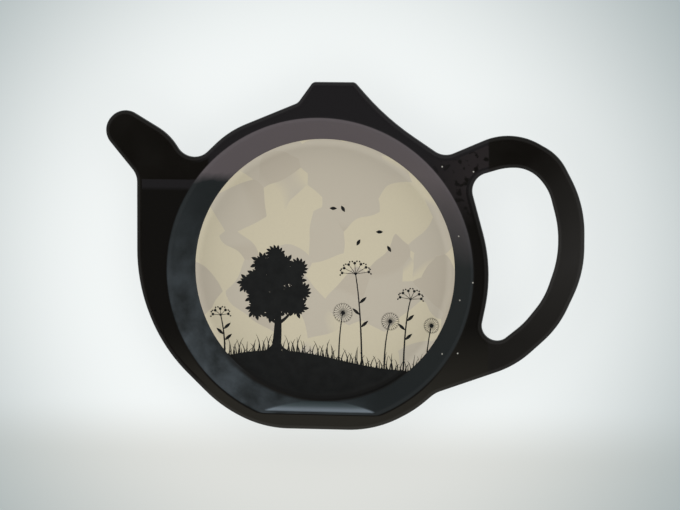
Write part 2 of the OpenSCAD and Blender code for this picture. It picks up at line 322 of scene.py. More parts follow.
def bowl_radius(angle):
    """Where the bowl's underside meets the underside of the rim."""
    bend_end = FLOOR_R + (FLOOR_FILLET + WALL_T) * math.sin(WALL_ANGLE)
    bend_end_z = FOOT_Z + (FLOOR_FILLET + WALL_T) * (1 - math.cos(WALL_ANGLE))
    round_r = bend_end + (RIM_UNDER_Z - bend_end_z) / math.tan(WALL_ANGLE)
    flat_u = FLAT_START - FLAT_SHOULDER_R * math.tan(FLAT_SIDE_ANGLE / 2)
    flat_u -= (RIM_Z - RIM_UNDER_Z) / math.tan(FLAT_SIDE_ANGLE)
    flat_u += WALL_T / math.sin(FLAT_SIDE_ANGLE)
    return clipped_radius(angle, round_r, flat_u)


def disc_radius(angle):
    """Where the pale disc ends. It is printed a little off the well's centre, towards the handle."""
    return DISC_SHIFT * math.cos(angle) + math.sqrt(DISC_R**2 - (DISC_SHIFT * math.sin(angle)) ** 2)


def turned(start_r, end_r, height, count):
    """A grid of faces round the well's centre, from start_r(angle) out to end_r(angle)."""
    slices = [slice_out(a, start_r(a), end_r(a), height, count) for a in ANGLES]
    faces = []
    for k in range(AROUND):
        one, two = slices[k], slices[(k + 1) % AROUND]
        for i in range(count):
            quad = [one[i], one[i + 1], two[i + 1], two[i]]
            faces.append(quad[1:] if one[i] == two[i] else quad)
    return faces, [s[-1][:2] for s in slices]


def bead(ring):
    """The rounded edge round an outline, from the lower face up to the upper face."""
    quarter = [math.pi / 2 * j / EDGE_STEPS for j in range(EDGE_STEPS + 1)]
    section = [
        (LOWER_EDGE_R * (1 - math.sin(a)), RIM_UNDER_Z + LOWER_EDGE_R * (1 - math.cos(a)))
        for a in quarter
    ]
    section += [(TOP_EDGE_R * (1 - math.cos(a)), RIM_Z - TOP_EDGE_R * (1 - math.sin(a))) for a in quarter]
    loops = [[(x, y, z) for x, y in inset(ring, depth)] for depth, z in section]
    n = len(ring)
    return [
        [low[i], low[(i + 1) % n], high[(i + 1) % n], high[i]]
        for low, high in zip(loops, loops[1:])
        for i in range(n)
    ]


def inside(points, polygon):
    """Which of the points lie inside a polygon."""
    x, y = points[:, 0], points[:, 1]
    hit = np.zeros(len(points), bool)
    for (x0, y0), (x1, y1) in zip(polygon, polygon[1:] + polygon[:1]):
        if y0 != y1:
            crosses = (y0 > y) != (y1 > y)
            hit ^= crosses & (x < (x1 - x0) * (y - y0) / (y1 - y0) + x0)
    return hit


def triangulated(loops, lines=()):
    """Triangles that keep every side of the closed loops and open lines, and their middles."""
    verts, edges = [], []
    for loop, closed in [(p, True) for p in loops] + [(p, False) for p in lines]:
        first, n = len(verts), len(loop)
        verts += [Vector(p) for p in loop]
        edges += [(first + i, first + (i + 1) % n) for i in range(n if closed else n - 1)]
    out = delaunay_2d_cdt(verts, edges, [], 0, SAME_SPOT)
    triangles = [[tuple(out[0][i]) for i in f] for f in out[2]]
    return triangles, np.array([np.mean(t, axis=0) for t in triangles])


def crossings_down(polygon, x):
    """Heights at which a polygon crosses an upright line."""
    return [
        y0 + (y1 - y0) * (x - x0) / (x1 - x0)
        for (x0, y0), (x1, y1) in zip(polygon, polygon[1:] + polygon[:1])
        if (x0 > x) != (x1 > x)
    ]


def crossings_across(polygon, y):
    """Places at which a polygon crosses a level line."""
    return crossings_down([(b, a) for a, b in polygon], y)


def picked(triangles, flags):
    return [t for t, flag in zip(triangles, flags) if flag]


def lifted(triangles, height):
    return [[(x, y, height(x, y)) for x, y in t] for t in triangles]


def levelled(triangles, z):
    return [[(x, y, z) for x, y in t] for t in triangles]


def dropped(faces, depth):
    return [[(x, y, z - depth) for x, y, z in f] for f in faces]


def open_sides(faces):
    """Sides that only one face has, seen from above, in their own order."""
    def key(p):
        return tuple(Vector(p[:2]))

    seen = {}
    for f in faces:
        for a, b in zip(f, f[1:] + f[:1]):
            pair = frozenset((key(a), key(b)))
            seen[pair] = None if pair in seen else (a, b)
    return [side for side in seen.values() if side]


def walls(faces, depth):
    """Upright walls that close the step between a patch and the same patch lower down."""
    return [
        [b, a, (a[0], a[1], a[2] - depth), (b[0], b[1], b[2] - depth)]
        for a, b in open_sides(faces)
    ]


def layer(faces):
    """A patch of the face made into a closed layer of print."""
    return faces + dropped(faces, PRINT_T) + walls(faces, PRINT_T)


def piece(name, faces, material, replaced):
    """A closed, smooth-shaded mesh from loose faces in millimetres, as a piece of the frame."""
    work = bmesh.new()
    for f in faces:
        work.faces.new([work.verts.new(((x + WELL_X) * MM, (y + WELL_Y) * MM, z * MM)) for x, y, z in f])
    bmesh.ops.remove_doubles(work, verts=work.verts, dist=MERGED * MM)
    bmesh.ops.dissolve_degenerate(work, edges=work.edges, dist=VANISHING * MM)
    bmesh.ops.recalc_face_normals(work, faces=work.faces)
    mesh = bpy.data.meshes.new(name)
    work.to_mesh(mesh)
    work.free()
    mesh.shade_smooth()
    mesh.set_sharp_from_angle(angle=SHARP_ANGLE)
    mesh.materials.append(material)
    made = bpy.data.objects.new(name, mesh)
    bpy.context.scene.collection.objects.link(made)
    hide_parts(*replaced)
    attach(made, "root")


# Materials

# A mix node keeps its two colours and their mixture behind its sockets for numbers and vectors
FIRST_COLOUR = 6
SECOND_COLOUR = 7
MIXED_COLOUR = 2


class Net:
    """A node tree, with the few steps that the looks are made of."""

    def __init__(self, tree):
        self.nodes = tree.nodes
        self.links = tree.links

    def feed(self, socket, value):
        """Link a socket to an output, or set it to a number or a colour."""
        if isinstance(value, bpy.types.NodeSocket):
            self.links.new(value, socket)
        elif isinstance(value, tuple):
            socket.default_value = (*value, 1)
        else:
            socket.default_value = value

    def place_in_mm(self):
        """The point on the object in millimetres from the well's centre, so that textures keep their size."""
        place = self.nodes.new("ShaderNodeTexCoord")
        grow = self.nodes.new("ShaderNodeMapping")
        grow.inputs["Scale"].default_value = (1 / MM, 1 / MM, 1 / MM)
        grow.inputs["Location"].default_value = (-WELL_X, -WELL_Y, 0)
        self.links.new(place.outputs["Object"], grow.inputs["Vector"])
        return grow.outputs["Vector"]

    def part(self, vector, axis):
        split = self.nodes.new("ShaderNodeSeparateXYZ")
        self.links.new(vector, split.inputs["Vector"])
        return split.outputs[axis]

    def noise(self, at, scale, detail, output="Fac"):
        made = self.nodes.new("ShaderNodeTexNoise")
        made.inputs["Scale"].default_value = scale
        made.inputs["Detail"].default_value = detail
        self.links.new(at, made.inputs["Vector"])
        return made.outputs[output]

    def cells(self, at, scale, dimensions):
        made = self.nodes.new("ShaderNodeTexVoronoi")
        made.voronoi_dimensions = dimensions
        made.inputs["Scale"].default_value = scale
        self.links.new(at, made.inputs["Vector"])
        return made.outputs

    def warped(self, at, scale, reach):
        """The point pushed about by a soft noise, so that cells lose their straight edges."""
        made = self.nodes.new("ShaderNodeVectorMath")
        made.operation = "MULTIPLY_ADD"
        self.links.new(self.noise(at, scale, detail=1, output="Color"), made.inputs[0])
        made.inputs[1].default_value = (reach, reach, reach)
        self.links.new(at, made.inputs[2])
        return made.outputs[0]

    def span(self, value, low, high, to_low=0.0, to_high=1.0, easing="LINEAR"):
        """A value that runs from low to high, made to run from to_low to to_high and held beyond them."""
        made = self.nodes.new("ShaderNodeMapRange")
        made.interpolation_type = easing
        ends = {"From Min": low, "From Max": high, "To Min": to_low, "To Max": to_high}
        for name, number in ends.items():
            made.inputs[name].default_value = number
        self.links.new(value, made.inputs["Value"])
        return made.outputs["Result"]

    def clouds(self, at, scale, detail, low, high, most=1.0):
        """Soft patches: nothing where the noise is below low, and the most where it is above high."""
        return self.span(self.noise(at, scale, detail), low, high, to_high=most)

    def math(self, operation, *values):
        made = self.nodes.new("ShaderNodeMath")
        made.operation = operation
        for socket, value in zip(made.inputs, values):
            self.feed(socket, value)
        return made.outputs[0]

    def both(self, one, two):
        """How far two shares hold together."""
        return self.math("MULTIPLY", one, two)

    def ramp(self, value, stops):
        made = self.nodes.new("ShaderNodeValToRGB")
        band = made.color_ramp
        while len(band.elements) < len(stops):
            band.elements.new(0.5)
        for element, (place, colour) in zip(band.elements, stops):
            element.position = place
            element.color = (*colour, 1)
        self.links.new(value, made.inputs["Fac"])
        return made.outputs["Color"]

    def mixed(self, share, one, two):
        made = self.nodes.new("ShaderNodeMix")
        made.data_type = "RGBA"
        self.links.new(share, made.inputs["Factor"])
        self.feed(made.inputs[FIRST_COLOUR], one)
        self.feed(made.inputs[SECOND_COLOUR], two)
        return made.outputs[MIXED_COLOUR]


def new_material(name):
    made = bpy.data.materials.new(name)
    made.use_nodes = True
    return made, Net(made.node_tree), made.node_tree.nodes["Principled BSDF"]


# Glaze: how wavy a pressed face is, and how much of the light it mirrors
WAVE_SCALE = 0.28
WAVE_DETAIL = 2
WAVE_STRENGTH = 0.3
GLAZE_LEVEL = 0.06
GLAZE_IOR = 1.5


def glazed(net, shader, at, wave, roughness, coat, coat_roughness):
    """The clear melamine glaze over whatever lies under it, with the slow waviness of a pressed face."""
    bump = net.nodes.new("ShaderNodeBump")
    bump.inputs["Distance"].default_value = wave * MM
    bump.inputs["Strength"].default_value = WAVE_STRENGTH
    net.links.new(net.noise(at, WAVE_SCALE, WAVE_DETAIL), bump.inputs["Height"])
    net.links.new(bump.outputs["Normal"], shader.inputs["Normal"])
    net.links.new(bump.outputs["Normal"], shader.inputs["Coat Normal"])
    shader.inputs["Roughness"].default_value = roughness
    shader.inputs["Specular IOR Level"].default_value = GLAZE_LEVEL
    shader.inputs["Coat Weight"].default_value = coat
    shader.inputs["Coat Roughness"].default_value = coat_roughness
    shader.inputs["Coat IOR"].default_value = GLAZE_IOR


# Colours
BLACK = (0.0042, 0.0036, 0.0029)
BLACK_WORN = (0.0062, 0.0056, 0.0048)
BLACK_PALE = (0.0190, 0.0182, 0.0174)
# Rim towards the base: painted light that it catches from the table
RIM_TABLE_LIT = (0.0180, 0.0168, 0.0140)
RIM_MIDDLE = (0.0044, 0.0040, 0.0035)
RIM_HIGH = (0.0114, 0.0107, 0.0118)
RIM_DUSK = (0.0175, 0.0150, 0.0158)
SLATE_DARK = (0.0105, 0.0135, 0.0150)
# Paler slate clouds: a painted reflection at the lower left of the wall
SLATE_CLOUD_REFLECTION = (0.0420, 0.0520, 0.0610)
# Painted reflection on the flat side, from its foot up to its brightest
SIDE_REFLECTION_LOW = (0.034, 0.046, 0.050)
SIDE_REFLECTION_MIDDLE = (0.065, 0.084, 0.094)
SIDE_REFLECTION_BRIGHT = (0.160, 0.194, 0.230)
# Dusk haze on the upper wall: partly print, partly painted light
DUSK_AND_LIGHT = (0.085, 0.074, 0.081)
INK = (0.0122, 0.0130, 0.0132)
INK_DEEP = (0.0092, 0.0098, 0.0100)
# Ink in the floor's bend, darkened as painted shade
INK_SHADED_BEND = (0.0015, 0.0016, 0.0016)
STAR = (0.36, 0.36, 0.33)
CREAM = (0.518, 0.475, 0.360)
CREAM_WARM = (0.446, 0.410, 0.343)
CREAM_GREY = (0.422, 0.383, 0.318)

# Colours up the rim and up the flat side, as shares of the way. The rim's pale low end is painted light from
# the table, and the flat side's colours are a painted reflection.
RIM_STOPS = [(0.12, RIM_TABLE_LIT), (0.34, RIM_MIDDLE), (0.68, RIM_MIDDLE), (0.86, RIM_HIGH)]
FLAT_SIDE_REFLECTION_STOPS = [
    (0.30, SIDE_REFLECTION_LOW),
    (0.55, SIDE_REFLECTION_MIDDLE),
    (0.76, SIDE_REFLECTION_BRIGHT),
    (0.86, SIDE_REFLECTION_BRIGHT),
    (0.95, SLATE_DARK),
]

# Where a tone comes in, from and to, in millimetres from the well's centre. ACROSS runs to the handle, HEIGHT
# to the lid knob and DEPTH up out of the well.
RIM_HEIGHT = (-40.0, 40.0)
HANDLE_CUT_ACROSS = (FOIL_RIGHT - 0.3, FOIL_RIGHT + 0.3)
SPOUT_ACROSS = (-27.0, -32.0)
SPOUT_HEIGHT = (-26.0, -12.0)
BAND_HEIGHT = (FOIL_SPOUT_CUT - 2.8, FOIL_SPOUT_CUT - 1.8)
VALLEY_ACROSS = (-27.6, -28.2)
VALLEY_HEIGHT = (FOIL_SPOUT_CUT, FOIL_SPOUT_CUT + 0.1)
PALE_ACROSS_AND_DOWN = (24.0, 60.0)
PALE_HEIGHT = (-16.0, 4.0)
CREASE_ACROSS = (26.0, 38.0)
CREASE_HEIGHT = (12.0, 22.0)
# Where the slate clouds turn paler as a painted reflection, at the lower left
REFLECTION_ACROSS = (15.0, -20.0)
REFLECTION_HEIGHT = (20.0, -18.0)
# Where the dusk haze, partly print and partly painted light, comes in
DUSK_AND_LIGHT_ACROSS = (-5.0, 5.0)
DUSK_AND_LIGHT_SPOUT_HEIGHT = (25.0, 27.2)
DUSK_AND_LIGHT_HANDLE_HEIGHT = (5.0, 27.0)
DUSK_AND_LIGHT_DRIFT = 6.0
STAR_ACROSS = (14.0, 38.0)
LOWER_HEIGHT = (-18.0, -28.0)
FOOT_DEPTH = (4.9, 4.2)
LIP_DEPTH = (9.88, 9.95)
RIM_DEPTH = (9.98, 9.997)
SHADED_BEND_DEPTH = (FLOOR_Z + 0.03, FLOOR_Z + 0.4)

# What counts as facing the lid knob, where the flat side takes its painted reflection, and the least share of
# the paler black
FACING_KNOB = (0.70, 0.86)
PALE_LEAST = 0.4

# Star specks: how large their cells and the specks in them are, and the greatest share of cells that have one
STAR_SCALE = 0.26
STAR_SIZE = (0.03, 0.06)
STAR_MOST = 0.14

# Clouds: scale, detail, and the values of the noise between which they come in
BLACK_CLOUDS = (0.12, 4, 0.35, 0.7)
SLATE_CLOUDS = (0.16, 4, 0.35, 0.68)
CREASES = (0.5, 2, 0.38, 0.46)
INK_CLOUDS = (0.5, 3, 0.35, 0.7)
GRAIN = (2.2, 2, 0.3, 0.7)
GRAIN_MOST = 0.12
DUSK_AND_LIGHT_SCALE = 0.09
DUSK_AND_LIGHT_DETAIL = 3

# Torn paper: scale of the patches, their bending, and the slow drift that keeps like tones together
PATCH_SCALE = 0.105
BEND_SCALE = 0.07
BEND_REACH = 8.0
DRIFT_SCALE = 0.03
DRIFT_DETAIL = 1
DRIFT_SHARE = 0.9
RANK_ENDS = (0.2, 1.2)
PATCH_STOPS = [(0.34, CREAM_GREY), (0.37, CREAM_WARM), (0.66, CREAM_WARM), (0.69, CREAM)]


def rim_tone(net, height):
    """The tone of the rim: darkest level with the well's middle, paler above, and paler below as painted
    light that it catches from the table.
    """
    return net.ramp(net.span(height, *RIM_HEIGHT), RIM_STOPS)


def pale_share(net, at):
    """How far a point lies towards the handle's outer side, where the black looks palest."""
    height = net.part(at, "Y")
    across_and_down = net.math("MULTIPLY_ADD", height, -1.0, net.part(at, "X"))
    return net.both(net.span(across_and_down, *PALE_ACROSS_AND_DOWN),
                    net.span(height, *PALE_HEIGHT, to_low=PALE_LEAST))


def melamine():
    """Black melamine: the rim's tone, with its painted light towards the base, round the belly, and a faint
    cloud beyond it, paler on the handle.
    """
    made, net, shader = new_material("black_melamine")
    at = net.place_in_mm()
    across = net.part(at, "X")
    bulk = net.mixed(net.clouds(at, *BLACK_CLOUDS), BLACK, BLACK_WORN)
    bulk = net.mixed(pale_share(net, at), bulk, BLACK_PALE)
    beyond = net.math("MAXIMUM", net.span(across, *SPOUT_ACROSS), net.span(across, *HANDLE_CUT_ACROSS))
    belly = rim_tone(net, net.part(at, "Y"))
    net.feed(shader.inputs["Base Color"], net.mixed(beyond, belly, bulk))
    glazed(net, shader, at, wave=0.05, roughness=0.28, coat=0.04, coat_roughness=0.1)
    return made


def dusk_and_light_share(net, at):
    """How much of the dusk haze there is, partly print and partly painted light on the wall that faces the
    base: it ends sharply on the spout's side and slowly on the handle's.
    """
    drift = net.noise(at, DUSK_AND_LIGHT_SCALE, DUSK_AND_LIGHT_DETAIL)
    height = net.math("MULTIPLY_ADD", drift, DUSK_AND_LIGHT_DRIFT, net.part(at, "Y"))
    spout_side = net.span(height, *DUSK_AND_LIGHT_SPOUT_HEIGHT)
    handle_side = net.span(height, *DUSK_AND_LIGHT_HANDLE_HEIGHT)
    return net.mixed(net.span(net.part(at, "X"), *DUSK_AND_LIGHT_ACROSS), spout_side, handle_side)


def star_share(net, at):
    """A few specks, all of them on the handle's side."""
    specks = net.cells(at, STAR_SCALE, "2D")
    dot = net.span(specks["Distance"], *STAR_SIZE, to_low=1.0, to_high=0.0)
    limit = net.span(net.part(at, "X"), *STAR_ACROSS, to_high=STAR_MOST)
    return net.both(dot, net.math("LESS_THAN", net.part(specks["Color"], "X"), limit))


def wall_print(net, at):
    """The print on the wall: slate with clouds, paler at the lower left as a painted reflection, dusk above
    that is partly painted light, and a painted reflection on the flat side.
    """
    height, depth = net.part(at, "Y"), net.part(at, "Z")
    # Slate clouds, paler at the lower left as a painted reflection
    low_left_reflection = net.both(net.span(net.part(at, "X"), *REFLECTION_ACROSS), net.span(height, *REFLECTION_HEIGHT))
    slate = net.mixed(net.both(net.clouds(at, *SLATE_CLOUDS), low_left_reflection), SLATE_DARK, SLATE_CLOUD_REFLECTION)
    # Dusk above: partly print and partly painted light
    wall = net.mixed(dusk_and_light_share(net, at), slate, DUSK_AND_LIGHT)
    # The flat side gets a painted reflection, picked by the way the face points and ramped up its height
    facing = net.nodes.new("ShaderNodeTexCoord").outputs["Normal"]
    flat_side_reflection = net.ramp(net.span(depth, FLOOR_Z, RIM_Z), FLAT_SIDE_REFLECTION_STOPS)
    wall = net.mixed(net.span(net.part(facing, "Y"), *FACING_KNOB), wall, flat_side_reflection)
    foot = net.both(net.span(height, *LOWER_HEIGHT), net.span(depth, *FOOT_DEPTH))
    return net.mixed(foot, wall, BLACK)


def rim_print(net, at):
    """The print on the rim: creased by the handle, darkest by the spout, and paler just under the cut."""
    across, height = net.part(at, "X"), net.part(at, "Y")
    beside = net.both(net.span(across, *CREASE_ACROSS), net.span(height, *CREASE_HEIGHT))
    creased = net.mixed(net.clouds(at, *CREASES), RIM_MIDDLE, RIM_DUSK)
    rim = net.mixed(beside, rim_tone(net, height), creased)
    left = net.both(net.span(across, *SPOUT_ACROSS), net.span(height, *SPOUT_HEIGHT))
    rim = net.mixed(left, rim, RIM_MIDDLE)
    rim = net.mixed(net.both(left, net.span(height, *BAND_HEIGHT)), rim, RIM_HIGH)
    valley = net.both(net.span(across, *VALLEY_ACROSS), net.span(height, *VALLEY_HEIGHT))
    return net.mixed(valley, rim, BLACK)


def print_field():
    """Dark print: near black on the rim, slate and dusk on the wall, and a few star specks, with painted
    reflections on the wall, painted light in the dusk, and a painted shadow line along the lip on the base's
    side.
    """
    made, net, shader = new_material("slate_print")
    at = net.place_in_mm()
    depth = net.part(at, "Z")
    rim = rim_print(net, at)
    # Black along the lip on the base's side: a painted shadow line where the wall meets the rim
    lip = net.mixed(net.span(net.part(at, "Y"), *LOWER_HEIGHT), rim, BLACK)
    field = net.mixed(net.span(depth, *LIP_DEPTH), wall_print(net, at), lip)
    field = net.mixed(net.span(depth, *RIM_DEPTH), field, rim)
    net.feed(shader.inputs["Base Color"], net.mixed(star_share(net, at), field, STAR))
    glazed(net, shader, at, wave=0.05, roughness=0.35, coat=0.05, coat_roughness=0.12)
    return made


def moon_print():
    """Pale print: hard-edged patches in three tones, like torn paper, with a fine grain over them."""
    made, net, shader = new_material("cream_print")
    at = net.place_in_mm()
    patches = net.cells(net.warped(at, BEND_SCALE, BEND_REACH), PATCH_SCALE, "3D")
    drift = net.noise(at, DRIFT_SCALE, DRIFT_DETAIL)
    rank = net.math("MULTIPLY_ADD", drift, DRIFT_SHARE, net.part(patches["Color"], "X"))
    torn = net.ramp(net.span(rank, *RANK_ENDS), PATCH_STOPS)
    grain = net.clouds(at, *GRAIN, most=GRAIN_MOST)
    net.feed(shader.inputs["Base Color"], net.mixed(grain, torn, CREAM_GREY))
    glazed(net, shader, at, wave=0.04, roughness=0.45, coat=0.2, coat_roughness=0.16)
    return made


def ink_print():
    """Black print of the meadow, a little uneven as ink on foil is, and darkest where the floor bends up, as
    painted shade.
    """
    made, net, shader = new_material("ink_print")
    at = net.place_in_mm()
    ink = net.mixed(net.clouds(at, *INK_CLOUDS), INK, INK_DEEP)
    # Painted shade where the floor bends up into the wall
    bend = net.span(net.part(at, "Z"), *SHADED_BEND_DEPTH)
    net.feed(shader.inputs["Base Color"], net.mixed(bend, ink, INK_SHADED_BEND))
    glazed(net, shader, at, wave=0.04, roughness=0.4, coat=0.03, coat_roughness=0.15)
    return made


# Printed meadow: all its shapes are polygons in the plane of the floor. A width with two numbers tapers.

GOLDEN = math.radians(137.5)
CURVE_STEPS = 8
LEAF_STEPS = 5
HILL_STEPS = 64

# Tree: the trunk and the roots are offsets from its foot. A branch has its reach, its rise and its place as a
# share of the trunk.
TREE_SHARE = -0.36
TREE_X = MOON_R * TREE_SHARE
TREE_H = 27.0
CROWN_W = 21.0
CLUMPS = 21
CLUMP_SHARE = 0.125
CLUMP_R = CROWN_W * CLUMP_SHARE
CLUMP_CORE_SHARE = 0.72
CLUMP_LEAVES = 15
LEAF_START_SHARE = 0.45
LEAF_L_SHARE = 0.62
LEAF_L_CHANGE_SHARE = 0.16
LEAF_CHANGE_RATE = 3.1
LEAF_W_SHARE = 0.46
LEAF_TURN = 0.5
TRUNK_W = (2.6, 1.0)
TRUNK_START = (-0.4, -1)
TRUNK_BEND = (0.9, 6)
BRANCHES = [(-6.5, 1.5, 0.45), (6.2, 3.0, 0.55), (-3.0, 7.0, 0.7)]
BRANCH_W = (0.9, 0.3)
BRANCH_BEND_SHARE = 0.4
BRANCH_BEND_RISE = 1.0
BRANCH_RISE = 4
ROOT = [(0.6, 1.6), (1.2, 0.1), (4.2, -0.7)]
ROOT_W = (1.1, 0.3)

# Grass: the blades' heights follow a quick and a slow wave, and their lean a third one
BLADES = 150
GRASS_H = 4.4
MIDDLE_SHARE = 0.62
QUICK_SHARE = 0.3
QUICK_RATE = 2
SLOW_SHARE = 0.2
SLOW_RATE = 0.35
BLADE_W = (0.34, 0.05)
BLADE_ROOT = 0.4
BLADE_LEAN = 1.3
LEAN_RATE = 1.7
BLADE_BEND_SHARES = (0.2, 0.7)

# Flowers: place as a share of the disc's radius, height as a share of FLOWER_H, lean, spokes, and reach
FLOWER_H = 22.0
UMBELS = [(0.3, 1, -1.6, 7, 3.4), (0.62, 0.72, 1.8, 6, 2.7), (-0.76, 0.5, -1.2, 5, 2.0)]
CLOCKS = [(0.12, 0.55, 1.1, 22, 2.1), (0.47, 0.46, 1.6, 22, 1.9), (0.8, 0.42, 1.2, 22, 1.6)]
STEM_ROOT = 1
STEM_BEND_SHARES = (0.1, 0.6)

# Tall flower
UMBEL_STEM_W = (0.46, 0.26)
UMBEL_MIDDLE_R = 0.32
UMBEL_FAN = 82
UMBEL_TURN = 0.04
UMBEL_FLATNESS = 0.8
SPOKE_W = (0.16, 0.12)
HEAD_R = 0.36
HEAD_SIDES = 10
BUD_REACH = 0.75
BUD_SPREAD = 0.9
BUD_STALK_W = (0.11, 0.09)
BUD_R = 0.21
BUD_SIDES = 8
STEM_LEAVES = [(0.35, 1), (0.5, -1), (0.64, 1)]
STEM_LEAF_L = 2.6
STEM_LEAF_W = 0.8
STEM_LEAF_SPREAD = 48

# Seed clock
CLOCK_STEM_W = (0.4, 0.24)
CLOCK_MIDDLE_R = 0.5
RAY_W = (0.13, 0.08)
HAIR_REACH = 0.5
HAIR_SPREAD = 0.7
HAIR_W = (0.1, 0.06)

# Leaves in the air: the first is placed across from the tree and up from the well's middle, and each next
# one a step further, with a sway
DRIFTING = 5
DRIFT_START = (13.5, 15.5)
DRIFT_STEP = (3.9, -2.6)
DRIFT_SWAY = 2.5
SWAY_RATE = 2.4
DRIFT_LEAF_L = 1.9
DRIFT_LEAF_W = 0.85
DRIFT_TURN = 2.1


def leaf(x, y, length, width, angle):
    """A pointed oval leaf that grows out of (x, y)."""
    start = Vector((x, y))
    along = Vector((math.cos(angle), math.sin(angle))) * length
    half = Vector((-math.sin(angle), math.cos(angle))) * width / 2
    rise = [j / LEAF_STEPS for j in range(LEAF_STEPS + 1)]
    left = [start + along * t + half * math.sin(math.pi * t) for t in rise]
    right = [start + along * t - half * math.sin(math.pi * t) for t in rise[-2:0:-1]]
    return [tuple(p) for p in left + right]


def disc(x, y, r, sides=14):
    turns = [math.tau * k / sides for k in range(sides)]
    return [(x + r * math.cos(a), y + r * math.sin(a)) for a in turns]


def stroke(points, start_w, end_w):
    """A tapering line through the points."""
    left, right = [], []
    for i, p in enumerate(points):
        a, b = points[max(i - 1, 0)], points[min(i + 1, len(points) - 1)]
        way = (Vector(b) - Vector(a)).normalized()
        w = (start_w + (end_w - start_w) * i / (len(points) - 1)) / 2
        left.append((p[0] - way.y * w, p[1] + way.x * w))
        right.append((p[0] + way.y * w, p[1] - way.x * w))
    return left + right[::-1]


def curve(start, bend, end):
    """Points on a bent line between two ends."""
    made = []
    for j in range(CURVE_STEPS + 1):
        t = j / CURVE_STEPS
        made.append(tuple(
            (1 - t) ** 2 * s + 2 * t * (1 - t) * b + t * t * e for s, b, e in zip(start, bend, end)
        ))
    return made


def ground(x):
    return -MEADOW_DROP + KNOLL_H / 2 * math.cos(math.pi * min(1, abs(x - TREE_X) / MOON_R))


def hill():
    top = [-MOON_R + 2 * MOON_R * i / HILL_STEPS for i in range(HILL_STEPS + 1)]
    return [[(x, ground(x)) for x in top] + [(MOON_R, -FAR), (-MOON_R, -FAR)]]


def crown(middle_y):
    """Round clumps of leaves, each turned on from the last by the golden angle."""
    shapes = []
    for i in range(CLUMPS):
        reach = (CROWN_W / 2 - CLUMP_R) * math.sqrt(i / (CLUMPS - 1))
        x = TREE_X + reach * math.cos(GOLDEN * i)
        y = middle_y + reach * math.sin(GOLDEN * i)
        shapes.append(disc(x, y, CLUMP_R * CLUMP_CORE_SHARE))
        for k in range(CLUMP_LEAVES):
            a = math.tau * k / CLUMP_LEAVES + i
            start = CLUMP_R * LEAF_START_SHARE
            change = LEAF_L_CHANGE_SHARE * math.sin(LEAF_CHANGE_RATE * k + i)
            size = CLUMP_R * (LEAF_L_SHARE + change)
            shapes.append(leaf(
                x + start * math.cos(a), y + start * math.sin(a), size, size * LEAF_W_SHARE, a + LEAF_TURN,
            ))
    return shapes


def tree():
    foot_y = ground(TREE_X)
    middle_y = foot_y + TREE_H - CROWN_W / 2
    trunk = curve(
        (TREE_X + TRUNK_START[0], foot_y + TRUNK_START[1]),
        (TREE_X + TRUNK_BEND[0], foot_y + TRUNK_BEND[1]),
        (TREE_X, middle_y),
    )
    shapes = crown(middle_y) + [stroke(trunk, *TRUNK_W)]
    for reach, rise, share in BRANCHES:
        x, y = trunk[round(share * CURVE_STEPS)]
        bend = (x + reach * BRANCH_BEND_SHARE, y + BRANCH_BEND_RISE)
        shapes.append(stroke(curve((x, y), bend, (x + reach, y + BRANCH_RISE + rise)), *BRANCH_W))
    for side in (-1, 1):
        shapes.append(stroke(curve(*[(TREE_X + side * x, foot_y + y) for x, y in ROOT]), *ROOT_W))
    return shapes


def grass():
    shapes = []
    for i in range(BLADES):
        x = MOON_R * (2 * (i + 0.5) / BLADES - 1)
        y = ground(x) - BLADE_ROOT
        quick = QUICK_SHARE * math.cos(QUICK_RATE * GOLDEN * i)
        slow = SLOW_SHARE * math.sin(SLOW_RATE * i)
        height = GRASS_H * (MIDDLE_SHARE + quick + slow)
        lean = BLADE_LEAN * math.sin(GOLDEN * i * LEAN_RATE)
        bend = (x + lean * BLADE_BEND_SHARES[0], y + height * BLADE_BEND_SHARES[1])
        shapes.append(stroke(curve((x, y), bend, (x + lean, y + height)), *BLADE_W))
    return shapes


def stem(x, height, lean):
    """Points up a stem that is rooted in the ground and leans over at its top."""
    bend = (x + lean * STEM_BEND_SHARES[0], -MEADOW_DROP + height * STEM_BEND_SHARES[1])
    return curve((x, ground(x) - STEM_ROOT), bend, (x + lean, -MEADOW_DROP + height))


def umbel(x, height, lean, spokes, reach):
    """A tall flower: a leafy stem with spokes that each end in a small round head and two buds."""
    up = stem(x, height, lean)
    top = up[-1]
    shapes = [stroke(up, *UMBEL_STEM_W), disc(*top, UMBEL_MIDDLE_R)]
    for k in range(spokes):
        a = math.radians(90 - UMBEL_FAN + 2 * UMBEL_FAN * k / (spokes - 1)) - lean * UMBEL_TURN
        tip = (top[0] + reach * math.cos(a), top[1] + reach * math.sin(a) * UMBEL_FLATNESS)
        shapes.append(stroke([top, tip], *SPOKE_W))
        shapes.append(disc(*tip, HEAD_R, HEAD_SIDES))
        for side in (-1, 1):
            b = a + side * BUD_SPREAD
            bud = (tip[0] + BUD_REACH * math.cos(b), tip[1] + BUD_REACH * math.sin(b))
            shapes.append(stroke([tip, bud], *BUD_STALK_W))
            shapes.append(disc(*bud, BUD_R, BUD_SIDES))
    for share, side in STEM_LEAVES:
        at = up[round(share * CURVE_STEPS)]
        shapes.append(leaf(*at, STEM_LEAF_L, STEM_LEAF_W, math.radians(90 - side * STEM_LEAF_SPREAD)))
    return shapes


